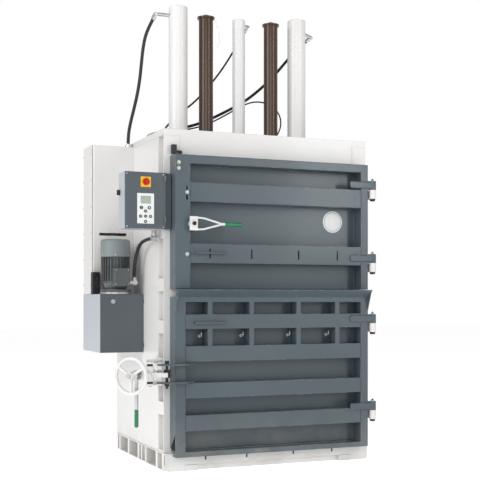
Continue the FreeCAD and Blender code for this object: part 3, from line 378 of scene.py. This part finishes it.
# plate with rounded corners: outline by angle, pushed along y, for signs, windows and gaskets
def roundedPlate(x0, x1, z0, z1, y0, y1, corner):
    turn = np.linspace(0, math.pi / 2, 5)
    middles = [(x1 - corner, z1 - corner, 0), (x0 + corner, z1 - corner, 1), (x0 + corner, z0 + corner, 2),
               (x1 - corner, z0 + corner, 3)]
    outline = np.concatenate([np.stack([mx + corner * np.cos(turn + k * math.pi / 2),
                                        mz + corner * np.sin(turn + k * math.pi / 2)], 1) for mx, mz,
                                        k in middles])
    count = len(outline)
    back = np.stack([outline[:, 0], np.full(count, y1), outline[:, 1]], 1)
    front = np.stack([outline[:, 0], np.full(count, y0), outline[:, 1]], 1)
    return np.concatenate([back, front]), tubeFaces(2, count)


# hoses
hoses = {
    "left": {"node": "left_hose", "thick": 0.022, "length": 0.833, "points": [
        (-.732, .159, 2.083), (-.732, .159, 2.140), (-.722, .148, 2.215), (-.705, .130, 2.300),
        (-.688, .105, 2.395),
        (-.677, .078, 2.495), (-.673, .052, 2.605), (-.668, .028, 2.715), (-.650, .010, 2.810),
        (-.612, .002, 2.884)]},
    "centre": {"node": "centre_hose", "thick": 0.013, "length": 0.996, "points": [
        (-.500, .150, 2.112), (-.500, .150, 2.165), (-.462, .149, 2.225), (-.405, .147, 2.280),
        (-.345, .146, 2.334),
        (-.262, .151, 2.400), (-.190, .144, 2.480), (-.123, .138, 2.562), (-.060, .127, 2.650),
        (-.006, .114, 2.740),
        (.042, .101, 2.822), (.082, .088, 2.894)]},
    "right": {"node": "right_hose", "thick": 0.020, "length": 1.334, "points": [
        (-.535, .191, 2.171), (-.498, .186, 2.188), (-.425, .176, 2.206), (-.325, .161, 2.222),
        (-.205, .150, 2.262),
        (-.100, .144, 2.314), (0, .140, 2.368), (.096, .138, 2.424), (.180, .136, 2.488), (.256, .132, 2.556),
        (.330, .126, 2.632), (.400, .117, 2.716), (.470, .104, 2.800), (.552, .088, 2.876)]},
    "sensor": {"node": "sensor_cable", "thick": 0.010, "length": 1.160, "points": [
        (-.430, .146, 2.112), (-.430, .146, 2.144), (-.415, .144, 2.172), (-.387, .141, 2.191),
        (-.322, .136, 2.205),
        (-.236, .129, 2.226), (-.150, .122, 2.262), (-.070, .118, 2.306), (.008, .114, 2.352),
        (.082, .110, 2.396),
        (.156, .105, 2.424), (.236, .101, 2.424), (.308, .099, 2.396), (.356, .099, 2.340),
        (.364, .099, 2.268),
        (.336, .099, 2.204), (.304, .099, 2.158), (.304, .099, 2.112)]},
    "motor": {"node": "motor_cable", "thick": 0.022, "length": 0.446, "points": [
        (-.740, -.398, 1.424), (-.740, -.348, 1.424), (-.750, -.290, 1.419), (-.757, -.228, 1.408),
        (-.759, -.172, 1.382), (-.761, -.130, 1.338), (-.765, -.108, 1.286), (-.768, -.102, 1.232),
        (-.768, -.102, 1.190)]},
}
for hoseName, hose in hoses.items():
    curve = bpy.data.curves.new(hoseName + "Hose", "CURVE")
    curve.dimensions = "3D"
    curve.bevel_depth = hose["thick"] / 2
    curve.bevel_resolution = 5
    curve.resolution_u = 10
    curve.use_fill_caps = True
    line = curve.splines.new("NURBS")
    line.points.add(len(hose["points"]) - 1)
    line.points.foreach_set("co", [v for p in hose["points"] for v in (*p, 1.0)])
    line.order_u = 3
    line.use_endpoint_u = True
    curve.materials.append(finish["hose_black"])
    piece = bpy.data.objects.new(hoseName + "Hose", curve)
    bpy.context.scene.collection.objects.link(piece)
    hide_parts(hose["node"])
    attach(piece, "frame")
print("hoses laid:", len(hoses))

# weld beads on the doors: skin to channel along each band, channel to stile at its ends
doors = {"skin": -0.5045, "front": -0.6015, "left": -0.565, "upperRight": 0.610, "lowerRight": 0.607,
         "upperBands": [(1.268, 1.387), (1.640, 1.758)], "lowerLeft": -0.596,
         "lowerBands": [(0.252, 0.347), (0.449, 0.542), (0.671, 0.765), (0.869, 0.957)],
         "ties": [-0.437, -0.161, 0.161, 0.437], "tieHalf": 0.0155,
         "tieRows": [(0.765, 0.869), (0.957, 1.032)]}
upperBeads, lowerBeads = [], []
for low, high in doors["upperBands"]:
    for z in (low - 0.001, high + 0.001):
        upperBeads.append(beadBlock((doors["left"], doors["skin"], z),
                                    (doors["upperRight"], doors["skin"], z)))
    for x in (doors["left"], doors["upperRight"]):
        upperBeads.append(beadBlock((x, doors["front"], low + 0.006), (x, doors["front"], high - 0.006),
                                    0.002))
for low, high in doors["lowerBands"]:
    for z in (low - 0.001, high + 0.001):
        lowerBeads.append(beadBlock((doors["lowerLeft"], doors["skin"], z),
                                    (doors["lowerRight"], doors["skin"], z)))
    for x in (doors["lowerLeft"], doors["lowerRight"]):
        lowerBeads.append(beadBlock((x, doors["front"], low + 0.006), (x, doors["front"], high - 0.006),
                                    0.002))
for x in doors["ties"]:
    for side in (-1, 1):
        for low, high in doors["tieRows"]:
            edge = x + side * (doors["tieHalf"] + 0.001)
            lowerBeads.append(beadBlock((edge, doors["skin"], low), (edge, doors["skin"], high)))
addPiece("upperDoorBeads", upperBeads, weldSeam, "upper_door")
addPiece("lowerDoorBeads", lowerBeads, weldSeam, "lower_door")

# beads where the walls and head meet, round the cylinders, and along the base
shell = {"front": -0.4965, "back": 0.5465, "base": 0.111, "roof": 2.0505, "plateTop": 2.0905, "stile": 0.6,
         "cylinders": 0.435}
frameBeads = []
for side in (-1, 1):
    frameBeads.append(beadBlock((side * 0.701, -0.494, shell["base"]), (side * 0.701, 0.544, shell["base"]),
                                0.0035))
    frameBeads.append(beadBlock((side * 0.7005, shell["front"], shell["roof"]),
                                (side * 0.7005, shell["back"], shell["roof"]), 0.002))
    frameBeads.append(beadBlock((side * shell["stile"], shell["front"], 1.93),
                                (side * shell["stile"], shell["front"], 2.049), 0.002))
    frameBeads.append(ringBead((side * shell["cylinders"], 0, shell["plateTop"]), (0, 0, 1), 0.0640, 0.0042))
frameBeads.append(beadBlock((-0.7, -0.4975, 0.1115), (0.7, -0.4975, 0.1115), 0.0035))
frameBeads.append(ringBead((0, 0, shell["plateTop"]), (0, 0, 1), 0.0440, 0.0038))
addPiece("frameBeads", frameBeads, weldSeamWhite, "frame")
print("weld beads laid")

# fixings
fixings = {"upperDoor": [((-0.640, -0.601, 1.873), 0.006), ((-0.640, -0.601, 1.838), 0.006),
                         ((-0.587, -0.601, 1.695), 0.006), ((-0.587, -0.601, 1.321), 0.006)],
           "boxScrew": 0.0045, "boxColumns": (-0.945, -0.718), "boxRows": (1.484, 1.799), "boxFront": -0.544,
           "coverScrew": 0.006, "lidScrew": 0.0035}
upperBolts = []
for place, thread in fixings["upperDoor"]:
    upperBolts += boltBlocks(place, (0, -1, 0), thread)
addPiece("upperDoorBolts", upperBolts, zincPlate, "upper_door")

coverLow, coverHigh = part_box("rear_cover")
coverScrews = []
for z in np.linspace(coverLow.z + 0.06, coverHigh.z - 0.06, 6):
    for y in (coverLow.y + 0.018, coverHigh.y - 0.018):
        coverScrews += screwBlocks((coverLow.x, y, z), (-1, 0, 0), fixings["coverScrew"])
addPiece("rearCoverScrews", coverScrews, zincPlate, "frame")

terminalLow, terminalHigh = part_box("terminal_box")
lidScrews = []
for x in (terminalLow.x + 0.012, terminalHigh.x - 0.012):
    for z in (terminalLow.z + 0.012, terminalHigh.z - 0.012):
        lidScrews += screwBlocks((x, terminalLow.y, z), (0, -1, 0), fixings["lidScrew"])
addPiece("terminalBoxScrews", lidScrews, zincPlate, "frame")
lid = [roundedPlate(terminalLow.x + 0.004, terminalHigh.x - 0.004, terminalLow.z + 0.004,
                    terminalHigh.z - 0.004,
                    terminalLow.y - 0.0004, terminalLow.y + 0.002, 0.006)]
addPiece("terminalBoxLid", lid, finish["motor_dark"], "frame", False)

# motor foot flange bolts, on a circle round the shaft
motor = {"x": -0.861, "y": 0.011, "flangeTop": 1.094, "circle": 0.085, "bolts": 4, "rimFoot": 1.0826,
         "coverRadius": 0.0954, "coverScrews": 1.334}
flangeBolts = []
for k in range(motor["bolts"]):
    a = math.pi / 4 + k * 2 * math.pi / motor["bolts"]
    place = (motor["x"] + motor["circle"] * math.cos(a), motor["y"] + motor["circle"] * math.sin(a),
             motor["flangeTop"])
    flangeBolts += boltBlocks(place, (0, 0, 1), 0.005)
addPiece("motorFlangeBolts", flangeBolts, zincPlate, "frame")

# machined rim of the motor's flange, and the cover's fixing screws
addPiece("motorFlangeRim", [turnedBlock((motor["x"], motor["y"], motor["rimFoot"]), (0, 0, 1),
         [(0.0985, 0.0, 0), (0.1012, 0.0012, 0), (0.1012, 0.0108, 0), (0.0992, 0.0119, 0)], 72)],
         zincPlate, "frame")
coverFixings = []
for k in range(6):
    a = math.radians(15 + 60 * k)
    out = (math.cos(a), math.sin(a), 0)
    coverFixings += screwBlocks((motor["x"] + motor["coverRadius"] * out[0],
                                 motor["y"] + motor["coverRadius"] * out[1],
                                 motor["coverScrews"]), out, 0.0042)
addPiece("fanCoverScrews", coverFixings, zincPlate, "frame")

# dark socket screw in the middle of the upper handle's hub, and dark steel nuts over and under the lock's pin
hub = {"x": -0.555, "front": -0.643, "z": 1.505}
socket = [(0.0125, 0.0, 0), (0.0125, 0.0065, 0), (0.0110, 0.0080, 0), (0.0058, 0.0080, 1),
          (0.0056, 0.0030, 1)]
addPiece("handleHubScrew", [turnedBlock((hub["x"], hub["front"], hub["z"]), (0, -1, 0), socket)],
         darkSteel, "upper_latch")
lockPin = {"x": -0.827, "y": -0.621, "thread": 0.0085}
lockNuts = []
washerLow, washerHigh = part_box("lock_washers")
for z, way in ((washerLow.z, -1), (washerHigh.z, 1)):
    lockNuts += boltBlocks((lockPin["x"], lockPin["y"], z), (0, 0, way), lockPin["thread"])
addPiece("lockPinNuts", lockNuts, darkSteel, "frame")

# hinge pin caps with a grease point, on every knuckle of both doors
hinges = {"x": 0.700, "y": -0.591, "tops": [0.327, 0.894, 1.285, 1.761], "knuckle": 0.058}
pinCaps = []
for z in hinges["tops"]:
    cap = [(0.0115, 0.0, 0), (0.0115, 0.0015, 0), (0.0095, 0.0035, 0), (0.004, 0.0038, 0), (0.004, 0.009, 0),
           (0.0025, 0.011, 0)]
    pinCaps.append(turnedBlock((hinges["x"], hinges["y"], z + hinges["knuckle"] + 0.006), (0, 0, 1), cap))
addPiece("hingePinCaps", pinCaps, darkSteel, "frame")
pinNuts = []
for z in hinges["tops"]:
    pinNuts += boltBlocks((hinges["x"], hinges["y"], z - hinges["knuckle"]), (0, 0, -1), 0.009)
addPiece("hingePinNuts", pinNuts, darkSteel, "frame")

# flat straps that carry each door's knuckles, welded over the door's right edge
strap = {"x0": 0.528, "x1": 0.690, "rise": 0.019, "front": -0.6095, "back": -0.6012, "corner": 0.006}
for door, tops in (("lower", hinges["tops"][:2]), ("upper", hinges["tops"][2:])):
    strapBlocks, strapBeads = [], []
    for z in tops:
        middle = z + hinges["knuckle"] / 2
        strapBlocks.append(roundedPlate(strap["x0"], strap["x1"], middle - strap["rise"],
                                        middle + strap["rise"],
                                        strap["front"], strap["back"], strap["corner"]))
        for side in (-1, 1):
            edge = middle + side * (strap["rise"] + 0.001)
            strapBeads.append(beadBlock((strap["x0"] + 0.008, -0.6015, edge), (0.655, -0.6015, edge), 0.0026))
    addPiece(door + "HingeStraps", strapBlocks, finish["door_grey"], door + "_door", False)
    addPiece(door + "StrapBeads", strapBeads, weldSeam, door + "_door")

# bolts on the two guide posts' caps, and the swivel nuts on the hose ends
postX = 0.238
postNuts = []
for x in (-postX, postX):
    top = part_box("guide_posts")[1].z
    postNuts += boltBlocks((x, 0, top), (0, 0, 1), 0.010)
addPiece("postCapBolts", postNuts, zincPlate, "press")
swivelNuts = []
for hoseName in ("left", "centre", "right"):
    points = hoses[hoseName]["points"]
    thick = hoses[hoseName]["thick"]
    end = np.array(points[-1])
    way = end - np.array(points[-2])
    nut = [(thick * 0.66, 0.0, 1), (thick * 0.74, 0.001, 1), (thick * 0.74, 0.015, 1),
           (thick * 0.66, 0.016, 1)]
    swivelNuts.append(turnedBlock(end + way / np.linalg.norm(way) * 0.014, way, nut))
addPiece("swivelNuts", swivelNuts, zincPlate, "frame")
print("fixings placed")

# round plain disc on the upper door's recessed skin
disc = {"centre": (0.452, -0.504, 1.552), "reach": 0.070}
addPiece("plainDisc", [turnedBlock(disc["centre"], (0, -1, 0),
                                   [(disc["reach"], 0.0, 0), (disc["reach"], 0.0006, 0),
         (disc["reach"] * 0.985, 0.0009, 0)], 64)], finish["keypad_white"], "upper_door")
ring = [ringBead((disc["centre"][0], disc["centre"][1] - 0.0008, disc["centre"][2]), (0, -1, 0),
                 disc["reach"] * 0.86, 0.0009)]
addPiece("discRing", ring, finish["black_plastic"], "upper_door")

# hooks beside the tie channels: out, up and over, each a bent rod on a small washer
hook = {"wire": 0.0032, "out": 0.034, "rise": 0.020, "z": 0.826, "root": -0.504, "drop": 0.004, "rings": 17,
        "places": (-0.470, -0.194, 0.128, 0.404)}
hookBlocks = []
for x in hook["places"]:
    t = np.linspace(0, 0.74, hook["rings"])
    bend = np.clip((t - 0.35) / 0.4, 0, 1)
    y = hook["root"] - hook["out"] * np.sin(np.clip(t / 0.55, 0, 1) * math.pi / 2)
    z = hook["z"] + hook["rise"] * bend ** 1.5 - hook["drop"] * (1 - bend)
    hookBlocks.append(runBlock(np.stack([np.full(hook["rings"], x), y, z], 1), hook["wire"], 0.0, 0.01, 10))
    hookBlocks.append(turnedBlock((x, hook["root"], hook["z"] - hook["drop"]), (0, -1, 0),
                                  [(0.010, 0.0, 0), (0.010, 0.002, 0), (0.006, 0.0028, 0)]))
addPiece("strapHooks", hookBlocks, finish["body_white"], "lower_door")

# dark sheet between the control box and the doors: painted shade, standing for the shadow and dark reflection
# the box casts on the column
boxShadeSheet = {"x0": -0.7005, "x1": -0.6635, "z0": 1.472, "z1": 1.811, "front": -0.530, "back": -0.4962,
             "corner": 0.003}
addPiece("paintedShadeSheet", [roundedPlate(boxShadeSheet["x0"], boxShadeSheet["x1"], boxShadeSheet["z0"], boxShadeSheet["z1"],
                                       boxShadeSheet["front"], boxShadeSheet["back"], boxShadeSheet["corner"])],
         finish["cabinet_grey"], "frame", False)

# keypad: display glass and key symbols
keypad = {"front": -0.549, "display": (-0.862, -0.797, 1.621, 1.668)}
dx0, dx1, dz0, dz1 = keypad["display"]
addPiece("displayGlass", [roundedPlate(dx0 + 0.0006, dx1 - 0.0006, dz0 + 0.0006, dz1 - 0.0006,
                                       keypad["front"] + 0.0004, keypad["front"] + 0.0012, 0.002)],
         displayGlass, "control_panel", False)


# flat symbol from an outline of (x, z) points, raised a little off a key's face
def symbolBlock(centre, outline, front, thick=0.0005):
    outline = np.asarray(outline, float)
    count = len(outline)
    back = np.stack([centre[0] + outline[:, 0], np.full(count, front), centre[1] + outline[:, 1]], 1)
    face = back - np.array([0, thick, 0])
    return np.concatenate([back, face]), tubeFaces(2, count)


arrow = np.array([(0.0042, 0.0), (-0.0028, 0.0040), (-0.0028, -0.0040)])
for keyName, angle in (("key_right", 0), ("key_up", 90), ("key_left", 180), ("key_down", 270)):
    low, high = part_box(keyName)
    a = math.radians(angle)
    turned = arrow @ np.array([[math.cos(a), math.sin(a)], [-math.sin(a), math.cos(a)]])
    addPiece(keyName + "Arrow", [symbolBlock(((low.x + high.x) / 2, (low.z + high.z) / 2), turned, low.y)],
             finish["keypad_white"], keyName, False)
for keyName, outline in (("key_left_round", [(0.0009, -0.005), (0.0009, 0.005), (-0.0009, 0.005),
                                             (-0.0009, -0.005)]),
                         ("key_right_round", [(0.004, -0.004), (0.004, 0.004), (-0.004, 0.004),
                                              (-0.004, -0.004)]),
                         ("key_centre", [(0.005, -0.0009), (0.005, 0.0009), (-0.005, 0.0009),
                                         (-0.005, -0.0009)])):
    low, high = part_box(keyName)
    addPiece(keyName + "Mark", [symbolBlock(((low.x + high.x) / 2, (low.z + high.z) / 2), outline, low.y)],
             finish["keypad_white"], keyName, False)
boxScrews = []
for x in fixings["boxColumns"]:
    for z in fixings["boxRows"]:
        boxScrews += screwBlocks((x, fixings["boxFront"], z), (0, -1, 0), fixings["boxScrew"])
addPiece("controlDoorScrews", boxScrews, zincPlate, "control_panel")
print("control box dressed")

# floor, light
def stagePiece(name, points, faces, material):
    mesh = bpy.data.meshes.new(name)
    mesh.from_pydata(points, [], faces)
    mesh.materials.append(material)
    piece = bpy.data.objects.new(name, mesh)
    bpy.context.scene.collection.objects.link(piece)
    return piece


paleFloor, floorTree, floorSurface, floorPlace = startMaterial("paleFloor")
floorSurface.inputs["Base Color"].default_value = (0.9, 0.9, 0.9, 1)
floorSurface.inputs["Roughness"].default_value = 0.85
floorSurface.inputs["Specular IOR Level"].default_value = 0.1
floorSurface.inputs["Emission Color"].default_value = (1, 1, 1, 1)
floorSurface.inputs["Emission Strength"].default_value = 0.62
stagePiece("paleFloor", [(-30, -30, -0.0005), (30, -30, -0.0005), (30, 30, -0.0005), (-30, 30, -0.0005)],
           [[0, 1, 2, 3]], paleFloor)

world = bpy.data.worlds.new("softRoom")
bpy.context.scene.world = world
world.use_nodes = True
roomTree = world.node_tree
roomTree.nodes["Background"].inputs[0].default_value = (1, 1, 1, 1)
rays = roomTree.nodes.new("ShaderNodeLightPath")
# white surround as the camera sees it, dimmer as a light
roomTree.links.new(addRange(roomTree, rays.outputs["Is Camera Ray"], 0.0, 1.0, 0.40, 1.0),
                   roomTree.nodes["Background"].inputs[1])


def softBox(name, place, target, size, power):
    light = bpy.data.lights.new(name, "AREA")
    light.shape = "RECTANGLE"
    light.size, light.size_y = size
    light.energy = power
    lamp = bpy.data.objects.new(name, light)
    lamp.location = place
    lamp.rotation_euler = (Vector(target) - Vector(place)).to_track_quat("-Z", "Y").to_euler()
    bpy.context.scene.collection.objects.link(lamp)


softBox("leftKey", (-6.0, -2.0, 3.5), (-0.5, 0, 1.4), (3.0, 3.5), 175)
softBox("frontFill", (-3.2, -8.0, 3.6), (0, 0, 1.3), (4.0, 3.0), 120)
softBox("rightStrip", (3.2, -6.0, 3.6), (0, 0, 2.0), (0.8, 4.0), 110)
bpy.context.scene.view_settings.view_transform = "Standard"
print("light and floor set")
